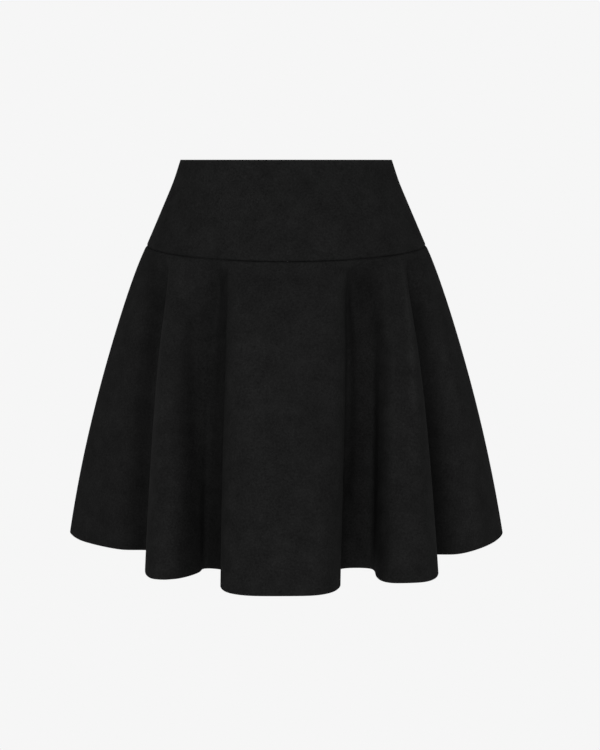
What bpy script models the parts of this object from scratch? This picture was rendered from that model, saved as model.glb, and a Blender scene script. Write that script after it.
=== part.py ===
"""Skater skirt: a fitted hip yoke with a flared skirt hanging from it in soft folds.

The skirt is filled out as when worn. Lengths are in metres, +Z is up, the front faces -Y,
and the origin is the middle of the waist opening. Azimuths are in degrees seen from above:
0 is the centre front, 90 the right side seam, 180 the centre back. Left and right are as
seen from the front. A share is a place round the skirt, 0 to 1 from the centre front.
"""

import math
from collections import namedtuple

import bmesh
import bpy
import numpy as np
from mathutils import Matrix

CLOTH = 0.0016
SEAM_GAP = 0.0003

# The yoke is an oval that grows from the waist to the seam; the last row is below the seam
Section = namedtuple("Section", "drop half_width front_depth back_depth")
SECTIONS = (
    Section(0.000, 0.1238, 0.0920, 0.0950),
    Section(0.025, 0.1323, 0.0985, 0.1035),
    Section(0.050, 0.1429, 0.1055, 0.1130),
    Section(0.075, 0.1538, 0.1115, 0.1225),
    Section(0.100, 0.1647, 0.1160, 0.1305),
    Section(0.125, 0.1750, 0.1190, 0.1370),
)

# The yoke seam dips from the sides to the centre front and back
SEAM_SIDE_DROP = 0.0995
SEAM_DIP = 0.0125
SEAM_DIP_POWER = 1.3

# The skirt hangs to the hem; cloth that runs out less hangs a little lower. It springs out of
# the seam over the front and back folds, and bulges a little on its way down.
HEM_DROP = 0.455
HEM_SWING = 0.07
MEAN_RUN = 0.12
LEAST_RUN = 0.09
SKIRT_LENGTH = 0.362
BULGE = 0.095
SPRING = 1.9
SPRING_FADE = 0.12
FOLD_ONSET = 0.035

# A fold at the hem is a rounded lobe: its crest lies at an azimuth and a reach from the middle
# and faces its own way. From there the cloth goes a depth back over a width on each side, and
# square says how boxy that side is.
Side = namedtuple("Side", "width depth square")
Fold = namedtuple("Fold", "name azimuth reach facing rise fall")
FOLDS = (
    Fold("front_centre", -1.0, 0.2545, 0.0, Side(0.0680, 0.110, 4.0), Side(0.067, 0.117, 4.0)),
    Fold("front_right", 32.8, 0.2385, 0.0, Side(0.0310, 0.066, 3.0), Side(0.043, 0.112, 3.6)),
    Fold("side_right", 97.0, 0.2680, 90.0, Side(0.1180, 0.100, 1.6), Side(0.070, 0.084, 1.6)),
    Fold("back_right", 148.0, 0.2480, 176.0, Side(0.0380, 0.092, 3.0), Side(0.032, 0.060, 3.0)),
    Fold("back_centre", 180.0, 0.2420, 180.0, Side(0.0620, 0.096, 3.2), Side(0.062, 0.088, 3.2)),
    Fold("back_left", 214.0, 0.2450, 185.0, Side(0.0310, 0.062, 2.8), Side(0.038, 0.088, 2.8)),
    Fold("side_left", 263.0, 0.2705, 270.0, Side(0.0680, 0.088, 1.5), Side(0.095, 0.106, 1.5)),
    Fold("front_left", 323.9, 0.2270, 0.0, Side(0.0260, 0.112, 3.2), Side(0.043, 0.050, 1.5)),
)

# Where each fold hangs from the yoke seam, as azimuths: its first foot and edge, then its last.
# The hem's shares are those of the seam places that its cloth hangs from, softened a little.
Hang = namedtuple("Hang", "rise_foot rise_edge fall_edge fall_foot")
HANGS = {
    "front_centre": Hang(-22.7, -21.5, 23.5, 24.9),
    "front_right": Hang(38.6, 39.8, 53.8, 55.2),
    "side_right": Hang(61.0, 67.0, 102.0, 110.0),
    "back_right": Hang(129.0, 131.0, 143.0, 144.8),
    "back_centre": Hang(156.0, 158.0, 202.0, 204.0),
    "back_left": Hang(216.0, 218.0, 231.0, 233.0),
    "side_left": Hang(250.0, 258.0, 292.0, 300.5),
    "front_left": Hang(306.6, 307.9, 322.5, 332.0),
}
HANG_SOFTNESS = 0.012

# Between two folds the cloth falls in a little under the yoke seam
Hollow = namedtuple("Hollow", "azimuth width depth")
HOLLOWS = (
    Hollow(31.0, 6.0, 0.0150),
    Hollow(58.5, 5.0, 0.0120),
    Hollow(119.5, 6.0, 0.0080),
    Hollow(150.5, 5.5, 0.0100),
    Hollow(210.0, 5.5, 0.0100),
    Hollow(241.5, 6.0, 0.0080),
    Hollow(303.0, 5.0, 0.0130),
    Hollow(331.0, 4.5, 0.0130),
)
HOLLOW_PLACE = 0.12
LOBE_ANGLES = (25.0, 50.0, 72.0)
ROOT_WIDTH = 0.9
VALLEY_ROUNDING = 0.15
SPLINE_STEPS = 24
SOFT_SAMPLES = 13
HEM_SAMPLES = 4001
AZIMUTH_STEP = 0.5

# How finely the walls are faceted
YOKE_ROWS = (0.0, 0.25, 0.5, 0.75, 1.0)
SKIRT_ROWS = (0.0, 0.008, 0.03, 0.07, 0.13, 0.22, 0.36, 0.52, 0.70, 0.85, 1.0)
YOKE_FRONT_COLUMNS = 28
YOKE_BACK_COLUMNS = 14
SKIRT_FRONT_COLUMNS = 90
SKIRT_BACK_COLUMNS = 42
TURN_WEIGHT = 0.022
TURN_SAMPLES = 1200
EDGE_FACET = 0.003
SMOOTH_ANGLE = math.radians(40)

# Concealed zip down the centre back seam, closed; runs are along the cloth from the waist
ZIP_SHARE = 0.5
SMALL_STEP = 0.001
TAPE_WIDTH = 0.012
TAPE_THICKNESS = 0.0010
TAPE_GAP = 0.0005
TAPE_TOP = 0.0020
TAPE_COLUMNS = 3
TAPE_SKIRT_ROWS = 6
SLIDER_RUN = 0.009
BACK_YOKE_RUNS = (0.0, 0.003, 0.006, 0.012, 0.018, 0.036, 0.060, 0.086)

SLIDER_BODY = (0.0060, 0.0028, 0.0090)
NECK_WIDTH = 0.0012
NECK_LENGTH = 0.0040
PLATE = (0.0050, 0.0008, 0.0080)
EAR = (0.0008, 0.0030, 0.0030)
EAR_SPACING = 0.0040
PIN_RADIUS = 0.0005
PIN_HEIGHT = 0.0030
PIN_SIDES = 16
SOFT_EDGE = 0.0003

# The slit between the back pieces opens round the slider's neck
SLIT_HALF = 0.0009
SLIT_LEVEL = 0.003
SLIT_TAPER = 0.006

# Pull tab, hung on the slider's pin with its tip just off the cloth
TAB_LENGTH = 0.0150
TAB_NECK = 0.0012
TAB_HALF_WIDTH = 0.0029
TAB_THICKNESS = 0.0010
BLADE_ANGLES = (20, -2, -24, -46, -68, -90)
TAB_LEAN = math.radians(7.0)
EYE_RADIUS = 0.0015
EYE_HOLE = 0.00085
EYE_WIDTH = 0.0024


def heading(azimuth):
    """Unit plan vectors pointing out from the middle at azimuths in degrees."""
    turn = np.radians(azimuth)
    return np.stack([np.sin(turn), -np.cos(turn)], axis=-1)


def section_size(drop, column):
    """One column of SECTIONS at any drop, through a smooth cubic."""
    table = np.array(SECTIONS)
    drops, sizes = table[:, 0], table[:, Section._fields.index(column)]
    slopes = np.gradient(sizes, drops)
    low = np.clip(np.searchsorted(drops, drop) - 1, 0, len(drops) - 2)
    step = drops[low + 1] - drops[low]
    t = (drop - drops[low]) / step
    return ((2 * t**3 - 3 * t**2 + 1) * sizes[low] + (t**3 - 2 * t**2 + t) * step * slopes[low]
            + (3 * t**2 - 2 * t**3) * sizes[low + 1] + (t**3 - t**2) * step * slopes[low + 1])


def oval_point(drop, azimuth):
    """Points of the figure's oval at a drop below the waist."""
    turn = np.radians(azimuth)
    in_front = np.cos(turn) > 0
    depth = np.where(in_front, section_size(drop, "front_depth"), section_size(drop, "back_depth"))
    across = section_size(drop, "half_width") * np.sin(turn)
    return np.stack([across, -depth * np.cos(turn), -drop * np.ones_like(turn)], axis=-1)


def seam_drop(azimuth):
    """How far the yoke seam lies below the waist."""
    return SEAM_SIDE_DROP + SEAM_DIP * np.abs(np.cos(np.radians(azimuth))) ** SEAM_DIP_POWER


def lobe_points(fold):
    """Plan points over one fold at the hem, each with the seam azimuth it hangs from, and its roots."""
    crest = fold.reach * heading(fold.azimuth)
    out, along = heading(fold.facing), heading(fold.facing + 90.0)
    hang = HANGS[fold.name]
    middle = fold.rise.width / (fold.rise.width + fold.fall.width)
    crest_azimuth = hang.rise_edge + (hang.fall_edge - hang.rise_edge) * middle

    def on_side(side, way, edge, degrees):
        angle, power = math.radians(degrees), 2.0 / side.square
        across, back = math.cos(angle) ** power, 1 - math.sin(angle) ** power
        place = crest + along * way * side.width * across - out * side.depth * back
        share = across / math.cos(math.radians(LOBE_ANGLES[0])) ** power
        return place, crest_azimuth + (edge - crest_azimuth) * share

    rise = [on_side(fold.rise, -1, hang.rise_edge, degrees) for degrees in LOBE_ANGLES]
    fall = [on_side(fold.fall, 1, hang.fall_edge, degrees) for degrees in reversed(LOBE_ANGLES)]
    rise_root = crest - along * fold.rise.width * ROOT_WIDTH - out * fold.rise.depth
    fall_root = crest + along * fold.fall.width * ROOT_WIDTH - out * fold.fall.depth
    return rise + [(crest, crest_azimuth)] + fall, rise_root, fall_root


def hem_controls():
    """Plan points that the hem passes through, lobe by lobe and valley by valley, and their azimuths."""
    lobes = [lobe_points(fold) for fold in FOLDS]
    points = []
    for i, (lobe, _, fall_root) in enumerate(lobes):
        following = (i + 1) % len(FOLDS)
        floor = lobes[following][1] - fall_root
        foot = HANGS[FOLDS[i].name].fall_foot
        spread = np.mod(HANGS[FOLDS[following].name].rise_foot - foot, 360.0)
        points += lobe
        for share in (VALLEY_ROUNDING, 1 - VALLEY_ROUNDING):
            points.append((fall_root + floor * share, foot + spread * share))
    return [place for place, _ in points], np.array([azimuth for _, azimuth in points])


def closed_spline(points):
    """A closed centripetal Catmull-Rom curve through plan points."""
    curve = []
    for i in range(len(points)):
        p0, p1, p2, p3 = (points[(i + k - 1) % len(points)] for k in range(4))
        k1 = np.linalg.norm(p1 - p0) ** 0.5
        k2 = k1 + np.linalg.norm(p2 - p1) ** 0.5
        k3 = k2 + np.linalg.norm(p3 - p2) ** 0.5
        t = np.linspace(k1, k2, SPLINE_STEPS, endpoint=False)[:, None]
        a1 = ((k1 - t) * p0 + t * p1) / k1
        a2 = ((k2 - t) * p1 + (t - k1) * p2) / (k2 - k1)
        a3 = ((k3 - t) * p2 + (t - k2) * p3) / (k3 - k2)
        b1 = ((k2 - t) * a1 + t * a2) / k2
        b2 = ((k3 - t) * a2 + (t - k1) * a3) / (k3 - k1)
        curve.append(((k2 - t) * b1 + (t - k1) * b2) / (k2 - k1))
    return np.concatenate(curve)


class Ring:
    """A closed line that gives its points by share of its length."""

    def __init__(self, points):
        self.closed = np.vstack([points, points[:1]])
        steps = np.linalg.norm(np.diff(self.closed, axis=0), axis=1)
        along = np.concatenate([[0.0], np.cumsum(steps)])
        self.length = along[-1]
        self.shares = along / self.length

    def at(self, share):
        wrapped = np.mod(share, 1.0)
        axes = range(self.closed.shape[1])
        return np.stack([np.interp(wrapped, self.shares, self.closed[:, k]) for k in axes], axis=-1)

    def fractions(self, low, high, count):
        """Fractions from low to high that crowd where the line turns, with a narrow facet at each end."""
        share = np.linspace(low, high, TURN_SAMPLES)
        step = np.diff(self.at(share), axis=0)
        length = np.linalg.norm(step, axis=1)
        way = np.unwrap(np.arctan2(step[:, 1], step[:, 0]))
        turn = np.abs(np.diff(way, append=way[-1]))
        effort = np.concatenate([[0.0], np.cumsum(length + TURN_WEIGHT * turn)])
        even = np.linspace(0.0, effort[-1], count - 1)
        fractions = np.interp(even, effort, np.linspace(0.0, 1.0, len(effort)))
        edge = EDGE_FACET / length.sum()
        return np.concatenate([[0.0, edge], fractions[1:-1], [1 - edge, 1.0]])


AZIMUTHS = np.arange(0.0, 360.0, AZIMUTH_STEP)
WAIST_RING = Ring(oval_point(np.zeros(len(AZIMUTHS)), AZIMUTHS))
SEAM_RING = Ring(oval_point(seam_drop(AZIMUTHS), AZIMUTHS))


def unrolled_seam():
    """Azimuths over three turns of the yoke seam, from -360, and their shares."""
    turn = SEAM_RING.shares[:-1]
    shares = np.concatenate([turn - 1, turn, turn + 1, [2.0]])
    return np.linspace(-360.0, 720.0, len(shares)), shares


def hem_ring():
    """The hem in plan, where each place's share is that of the seam that it hangs from."""
    controls, azimuths = hem_controls()
    ring = Ring(closed_spline(controls))
    along = ring.shares * ring.length
    hung = np.interp(np.append(azimuths, azimuths[0] + 360.0), *unrolled_seam())
    share = np.interp(along, along[::SPLINE_STEPS], hung)
    around = np.concatenate([along[:-1] - ring.length, along[:-1], along + ring.length])
    shares = np.concatenate([share[:-1] - 1, share[:-1], share + 1])
    places = np.concatenate([ring.closed[:-1], ring.closed[:-1], ring.closed])
    window = np.linspace(-HANG_SOFTNESS, HANG_SOFTNESS, SOFT_SAMPLES)
    soft = np.mean([np.interp(around + offset, around, shares) for offset in window], axis=0)
    even = np.linspace(0.0, 1.0, HEM_SAMPLES)
    points = np.stack([np.interp(even, soft, places[:, k]) for k in range(2)], axis=-1)
    hem = Ring(points[:-1])
    hem.shares = even
    return hem


SIDE_SHARE = float(np.interp(90.0, AZIMUTHS, SEAM_RING.shares[:-1]))
HEM_RING = hem_ring()


def azimuth_at(share):
    """Azimuth of a share of the yoke seam."""
    return np.interp(np.mod(share, 1.0), SEAM_RING.shares, np.append(AZIMUTHS, 360.0))


def yoke_point(share, down):
    """Outer face of the yoke; down runs from 0 at the waist to 1 at the yoke seam."""
    azimuth = azimuth_at(share)
    return oval_point(down * seam_drop(azimuth), azimuth)


def yoke_flare(azimuth):
    """How fast the figure's oval widens with the drop, at the yoke seam."""
    step = 0.002
    low = oval_point(seam_drop(azimuth), azimuth)[..., :2]
    high = oval_point(seam_drop(azimuth) - step, azimuth)[..., :2]
    return (np.linalg.norm(low, axis=-1) - np.linalg.norm(high, axis=-1)) / step


def hollow_depth(azimuth, down):
    """How far the cloth falls in between the folds, most of it just below the yoke seam."""
    across = sum(h.depth * np.exp(-(((azimuth - h.azimuth) / h.width) ** 2)) for h in HOLLOWS)
    return across * (down / HOLLOW_PLACE * np.exp(1 - down / HOLLOW_PLACE)) ** 2


def skirt_point(share, down):
    """Outer face of the skirt; down runs from 0 at the yoke seam to 1 at the hem.

    The skirt leaves the seam on the yoke's own slope, and the folds set in below it.
    """
    share, down = np.broadcast_arrays(share, down)
    top = SEAM_RING.at(share)
    hem = HEM_RING.at(share)
    run = np.linalg.norm(hem - top[..., :2], axis=-1)
    hem_level = -(HEM_DROP + HEM_SWING * (MEAN_RUN - np.maximum(run, LEAST_RUN)))
    hold = np.exp(-down / FOLD_ONSET)
    lag = FOLD_ONSET * (1 - hold)
    full_lag = FOLD_ONSET * (1 - math.exp(-1 / FOLD_ONSET))
    opening = (down - lag) / (1 - full_lag)
    outwards = hem - top[..., :2]
    facing = (outwards[..., 1] / run) ** 2
    spring = SPRING * facing * opening * np.exp(-down / SPRING_FADE)
    spread = opening + BULGE * 4 * down * (1 - down) + spring
    azimuth = azimuth_at(share)
    flare = yoke_flare(azimuth) * (hold + (1 - hold) * np.minimum(run / MEAN_RUN, 1.0))
    swell = flare * SKIRT_LENGTH * (down - opening) - hollow_depth(azimuth, down)
    out = top[..., :2] / np.linalg.norm(top[..., :2], axis=-1, keepdims=True)
    plan = top[..., :2] + outwards * spread[..., None] + out * swell[..., None]
    level = top[..., 2] + (hem_level - top[..., 2]) * down
    return np.concatenate([plan, level[..., None]], axis=-1)


BACK_YOKE_LENGTH = float(np.linalg.norm(yoke_point(0.5, 1.0) - yoke_point(0.5, 0.0)))


def back_point(share, run):
    """Outer face of the centre back at a run along the cloth from the waist."""
    if run <= BACK_YOKE_LENGTH:
        return yoke_point(share, run / BACK_YOKE_LENGTH)
    return skirt_point(share, (run - BACK_YOKE_LENGTH) / SKIRT_LENGTH)


def round_length(run):
    """Length once round the skirt, at a run along the cloth from the waist."""
    lengths = (WAIST_RING.length, SEAM_RING.length, HEM_RING.length)
    return np.interp(run, (0.0, BACK_YOKE_LENGTH, BACK_YOKE_LENGTH + SKIRT_LENGTH), lengths)


def zip_slit(run):
    """Half the slit at the centre back: a plain seam, spread round the slider's neck."""
    beyond = max(0.0, abs(run - SLIDER_RUN) - SLIT_LEVEL)
    spread = max(0.0, 1 - beyond / SLIT_TAPER)
    return SEAM_GAP / 2 + (SLIT_HALF - SEAM_GAP / 2) * spread


def plain_seam(run):
    """Half the gap at a plain seam."""
    return SEAM_GAP / 2


def plain_material(name, red, green, blue, roughness, metallic=0.0):
    """A Principled material with one colour."""
    material = bpy.data.materials.new(name)
    material.use_nodes = True
    shader = material.node_tree.nodes["Principled BSDF"]
    shader.inputs["Base Color"].default_value = (red, green, blue, 1.0)
    shader.inputs["Roughness"].default_value = roughness
    shader.inputs["Metallic"].default_value = metallic
    return material


def new_object(name, mesh, collection, material):
    """Put a mesh in a collection, shaded smooth between its sharp edges."""
    mesh.shade_smooth()
    mesh.set_sharp_from_angle(angle=SMOOTH_ANGLE)
    mesh.materials.append(material)
    piece = bpy.data.objects.new(name, mesh)
    collection.objects.link(piece)
    return piece


def thickened_grid(name, rows, thickness, collection, material):
    """A wall: rows of outer points joined into a surface and given its thickness inwards."""
    columns = len(rows[0])
    vertices = [tuple(point) for row in rows for point in row]
    faces = []
    for r in range(len(rows) - 1):
        for c in range(columns - 1):
            corner = r * columns + c
            faces.append((corner, corner + columns, corner + columns + 1, corner + 1))
    mesh = bpy.data.meshes.new(name)
    mesh.from_pydata(vertices, [], faces)
    piece = new_object(name, mesh, collection, material)
    wall = piece.modifiers.new("thickness", "SOLIDIFY")
    wall.thickness = thickness
    wall.offset = -1.0
    wall.use_even_offset = True
    return piece


def wall_rows(point, fractions, low, high, downs, runs, low_gap, high_gap):
    """Rows of a piece between two seams, each kept half a gap from its seam."""
    rows = []
    for down, run in zip(downs, runs):
        first = low + low_gap(run) / round_length(run)
        last = high - high_gap(run) / round_length(run)
        rows.append(point(first + (last - first) * fractions, np.full(len(fractions), down)))
    return rows


def build_yoke(collection, cloth):
    """The yoke's front, and its two backs that meet at the zip."""
    end = 1 - SEAM_GAP / BACK_YOKE_LENGTH
    front_runs = [down * end * BACK_YOKE_LENGTH for down in YOKE_ROWS]
    back_runs = list(BACK_YOKE_RUNS) + [end * BACK_YOKE_LENGTH]
    panels = (
        ("yoke_front", -SIDE_SHARE, SIDE_SHARE, YOKE_FRONT_COLUMNS, front_runs, plain_seam, plain_seam),
        ("yoke_back_right", SIDE_SHARE, ZIP_SHARE, YOKE_BACK_COLUMNS, back_runs, plain_seam, zip_slit),
        ("yoke_back_left", ZIP_SHARE, 1 - SIDE_SHARE, YOKE_BACK_COLUMNS, back_runs, zip_slit, plain_seam),
    )
    for name, low, high, columns, runs, low_gap, high_gap in panels:
        fractions = np.linspace(0.0, 1.0, columns + 1)
        downs = [run / BACK_YOKE_LENGTH for run in runs]
        rows = wall_rows(yoke_point, fractions, low, high, downs, runs, low_gap, high_gap)
        thickened_grid(name, rows, CLOTH, collection, cloth)


def build_skirt(collection, cloth):
    """The skirt's front, and its two backs under the yoke's."""
    runs = [BACK_YOKE_LENGTH + down * SKIRT_LENGTH for down in SKIRT_ROWS]
    panels = (
        ("skirt_front", -SIDE_SHARE, SIDE_SHARE, SKIRT_FRONT_COLUMNS),
        ("skirt_back_right", SIDE_SHARE, ZIP_SHARE, SKIRT_BACK_COLUMNS),
        ("skirt_back_left", ZIP_SHARE, 1 - SIDE_SHARE, SKIRT_BACK_COLUMNS),
    )
    for name, low, high, columns in panels:
        fractions = HEM_RING.fractions(low, high, columns)
        rows = wall_rows(skirt_point, fractions, low, high, SKIRT_ROWS, runs, plain_seam, plain_seam)
        thickened_grid(name, rows, CLOTH, collection, cloth)


def inner_point(share, run, depth):
    """A point a depth inside the centre back's outer face."""
    across = back_point(share + SMALL_STEP, run) - back_point(share - SMALL_STEP, run)
    upwards = back_point(share, run - SMALL_STEP) - back_point(share, run + SMALL_STEP)
    normal = np.cross(across, upwards)
    normal *= np.sign(normal[1]) / np.linalg.norm(normal)
    return back_point(share, run) - normal * depth


def build_tapes(collection, material):
    """Two zip tapes inside the centre back seam, one on each side of the slit."""
    depth = CLOTH + TAPE_GAP
    yoke_runs = [run for run in BACK_YOKE_RUNS if run > SLIDER_RUN - SLIT_LEVEL - TAPE_TOP]
    skirt_runs = [BACK_YOKE_LENGTH + down * SKIRT_LENGTH for down in SKIRT_ROWS[:TAPE_SKIRT_ROWS]]
    for name, side in (("zip_tape_right", -1), ("zip_tape_left", 1)):
        rows = []
        for run in [TAPE_TOP] + yoke_runs + skirt_runs:
            spread = np.linspace(zip_slit(run), TAPE_WIDTH, TAPE_COLUMNS + 1)
            ordered = spread if side > 0 else -spread[::-1]
            shares = ZIP_SHARE + ordered / round_length(run)
            rows.append([inner_point(share, run, depth) for share in shares])
        thickened_grid(name, rows, TAPE_THICKNESS, collection, material)


def box_mesh(name, size, centre):
    """A box of a size round a centre."""
    mesh = bpy.data.meshes.new(name)
    shape = bmesh.new()
    place = Matrix.Translation(centre) @ Matrix.Diagonal((*size, 1.0))
    bmesh.ops.create_cube(shape, size=1.0, matrix=place)
    shape.to_mesh(mesh)
    shape.free()
    return mesh


def rod_mesh(name, radius, length, centre):
    """A round rod along X."""
    mesh = bpy.data.meshes.new(name)
    shape = bmesh.new()
    place = Matrix.Translation(centre) @ Matrix.Rotation(math.radians(90), 4, "Y")
    bmesh.ops.create_cone(shape, cap_ends=True, segments=PIN_SIDES, radius1=radius, radius2=radius,
                          depth=length, matrix=place)
    shape.to_mesh(mesh)
    shape.free()
    return mesh


def combine(piece, mesh, operation, cutters):
    """Join a mesh to a piece, or cut it out, with a Boolean."""
    tool = bpy.data.objects.new(mesh.name, mesh)
    cutters.objects.link(tool)
    tool.parent = piece
    tool.hide_render = True
    tool.display_type = "WIRE"
    change = piece.modifiers.new(mesh.name, "BOOLEAN")
    change.operation = operation
    change.object = tool


def build_slider(collection, cutters, metal, seat):
    """Slider in three layers: body inside the tapes, neck in the slit, plate and ears outside."""
    body_face = -(CLOTH + TAPE_GAP + TAPE_THICKNESS + SEAM_GAP)
    body_centre = (0.0, body_face - SLIDER_BODY[1] / 2, 0.0)
    slider = new_object("zip_slider", box_mesh("zip_slider", SLIDER_BODY, body_centre), collection, metal)
    slider.parent = seat
    bevel = slider.modifiers.new("soft_edges", "BEVEL")
    bevel.width = SOFT_EDGE
    bevel.segments = 2
    plate_face = SEAM_GAP
    neck_low, neck_high = body_face - SOFT_EDGE, plate_face + PLATE[1] / 2
    neck_size = (NECK_WIDTH, neck_high - neck_low, NECK_LENGTH)
    neck_centre = (0.0, (neck_low + neck_high) / 2, 0.0)
    combine(slider, box_mesh("slider_neck", neck_size, neck_centre), "UNION", cutters)
    plate_centre = (0.0, plate_face + PLATE[1] / 2, 0.0)
    combine(slider, box_mesh("slider_plate", PLATE, plate_centre), "UNION", cutters)
    ear_height = plate_face + PLATE[1] / 2 + EAR[1] / 2
    for side, where in ((-1, "left"), (1, "right")):
        centre = (side * EAR_SPACING / 2, ear_height, 0.0)
        combine(slider, box_mesh("slider_ear_" + where, EAR, centre), "UNION", cutters)
    pin = rod_mesh("slider_pin", PIN_RADIUS, EAR_SPACING, (0.0, PIN_HEIGHT, 0.0))
    combine(slider, pin, "UNION", cutters)


def tab_blade():
    """Flat blade of the pull tab, hanging from its eye: a narrow neck that widens to a round end."""
    outline = bpy.data.curves.new("tab_blade", "CURVE")
    outline.dimensions = "2D"
    outline.fill_mode = "BOTH"
    outline.extrude = TAB_THICKNESS / 2
    start = -(EYE_HOLE + EYE_RADIUS) / 2
    centre = -TAB_LENGTH + TAB_HALF_WIDTH
    right = [(TAB_NECK, start), (TAB_NECK, -2 * EYE_RADIUS)]
    for degrees in BLADE_ANGLES:
        angle = math.radians(degrees)
        right.append((TAB_HALF_WIDTH * math.cos(angle), centre + TAB_HALF_WIDTH * math.sin(angle)))
    points = right + [(-x, y) for x, y in reversed(right) if x > SEAM_GAP]
    line = outline.splines.new("POLY")
    line.points.add(len(points) - 1)
    for point, (x, y) in zip(line.points, points):
        point.co = (x, y, 0.0, 1.0)
    line.use_cyclic_u = True
    return outline


def curve_to_mesh(curve, name, turn):
    """The solid of a filled curve, its caps welded, turned into place."""
    holder = bpy.data.objects.new(name, curve)
    bpy.context.scene.collection.objects.link(holder)
    depsgraph = bpy.context.evaluated_depsgraph_get()
    mesh = bpy.data.meshes.new_from_object(holder.evaluated_get(depsgraph))
    bpy.data.objects.remove(holder)
    shape = bmesh.new()
    shape.from_mesh(mesh)
    bmesh.ops.remove_doubles(shape, verts=shape.verts, dist=0.00001)
    bmesh.ops.transform(shape, matrix=turn, verts=shape.verts)
    bmesh.ops.recalc_face_normals(shape, faces=shape.faces)
    shape.to_mesh(mesh)
    shape.free()
    mesh.name = name
    return mesh


def build_tab(collection, cutters, metal, seat):
    """Pull tab: an eye round the slider's pin and a flat blade below it."""
    eye = rod_mesh("zip_pull_tab", EYE_RADIUS, EYE_WIDTH, (0.0, 0.0, 0.0))
    tab = new_object("zip_pull_tab", eye, collection, metal)
    tab.parent = seat
    tab.location = (0.0, PIN_HEIGHT, 0.0)
    tab.rotation_euler = (-TAB_LEAN, 0.0, 0.0)
    upright = Matrix.Rotation(math.radians(90), 4, "X")
    combine(tab, curve_to_mesh(tab_blade(), "tab_blade", upright), "UNION", cutters)
    combine(tab, rod_mesh("tab_hole", EYE_HOLE, 2 * EYE_WIDTH, (0.0, 0.0, 0.0)), "DIFFERENCE", cutters)


def slider_seat(collection):
    """An empty on the centre back where the slider stands: its Y points out of the cloth."""
    above, below = SLIDER_RUN - SMALL_STEP, SLIDER_RUN + SMALL_STEP
    upwards = back_point(ZIP_SHARE, above) - back_point(ZIP_SHARE, below)
    seat = bpy.data.objects.new("slider_seat", None)
    seat.location = back_point(ZIP_SHARE, SLIDER_RUN)
    seat.rotation_euler = (math.atan2(-upwards[1], upwards[2]), 0.0, 0.0)
    collection.objects.link(seat)
    return seat


def build_all():
    """Clear the scene and build every piece of the skirt."""
    for old in list(bpy.data.objects):
        bpy.data.objects.remove(old)
    parts = bpy.data.collections.new("skater_skirt")
    cutters = bpy.data.collections.new("cutters")
    for collection in (parts, cutters):
        bpy.context.scene.collection.children.link(collection)
    cloth = plain_material("black_cloth", 0.0105, 0.0105, 0.0110, 0.92)
    tape = plain_material("black_tape", 0.0080, 0.0080, 0.0085, 0.80)
    metal = plain_material("black_enamelled_metal", 0.0120, 0.0120, 0.0120, 0.38, 0.6)
    build_yoke(parts, cloth)
    build_skirt(parts, cloth)
    build_tapes(parts, tape)
    seat = slider_seat(parts)
    build_slider(parts, cutters, metal, seat)
    build_tab(parts, cutters, metal, seat)


build_all()
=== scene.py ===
"""Skater skirt, dressed: black felted cloth, its seams and folds, and a concealed back zip.

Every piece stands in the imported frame. Lengths are in metres, +Z is up, the front faces -Y,
and the origin is the middle of the waist opening. A share is a place round the skirt, from
0 to 1 from the centre front by way of the right side, left and right as seen from the front.
A run is a length down along the cloth from the waist. The form's tables and functions are
those of the part's own source, so the cloth lies where its solids do.
"""

import math
from collections import namedtuple

import bmesh
import bpy
import numpy as np
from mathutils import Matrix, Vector


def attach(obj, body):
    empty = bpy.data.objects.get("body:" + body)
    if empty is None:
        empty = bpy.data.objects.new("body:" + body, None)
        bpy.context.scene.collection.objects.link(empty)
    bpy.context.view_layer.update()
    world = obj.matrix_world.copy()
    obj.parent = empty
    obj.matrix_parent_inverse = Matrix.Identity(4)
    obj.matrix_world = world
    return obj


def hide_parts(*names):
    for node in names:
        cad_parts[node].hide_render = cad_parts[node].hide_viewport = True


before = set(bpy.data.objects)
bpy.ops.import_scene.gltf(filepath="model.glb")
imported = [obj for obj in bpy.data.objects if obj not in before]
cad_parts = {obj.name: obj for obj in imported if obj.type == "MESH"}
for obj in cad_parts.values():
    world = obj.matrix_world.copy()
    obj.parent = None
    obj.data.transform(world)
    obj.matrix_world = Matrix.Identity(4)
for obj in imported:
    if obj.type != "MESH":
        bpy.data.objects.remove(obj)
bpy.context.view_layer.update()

# The form, as in the part's source

Section = namedtuple("Section", "drop half_width front_depth back_depth")
SECTIONS = (
    Section(0.000, 0.1238, 0.0920, 0.0950),
    Section(0.025, 0.1323, 0.0985, 0.1035),
    Section(0.050, 0.1429, 0.1055, 0.1130),
    Section(0.075, 0.1538, 0.1115, 0.1225),
    Section(0.100, 0.1647, 0.1160, 0.1305),
    Section(0.125, 0.1750, 0.1190, 0.1370),
)
SEAM_SIDE_DROP = 0.0995
SEAM_DIP = 0.0125
SEAM_DIP_POWER = 1.3

HEM_DROP = 0.455
HEM_SWING = 0.07
MEAN_RUN = 0.12
LEAST_RUN = 0.09
SKIRT_LENGTH = 0.362
BULGE = 0.095
SPRING = 1.9
SPRING_FADE = 0.12
FOLD_ONSET = 0.035

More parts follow.
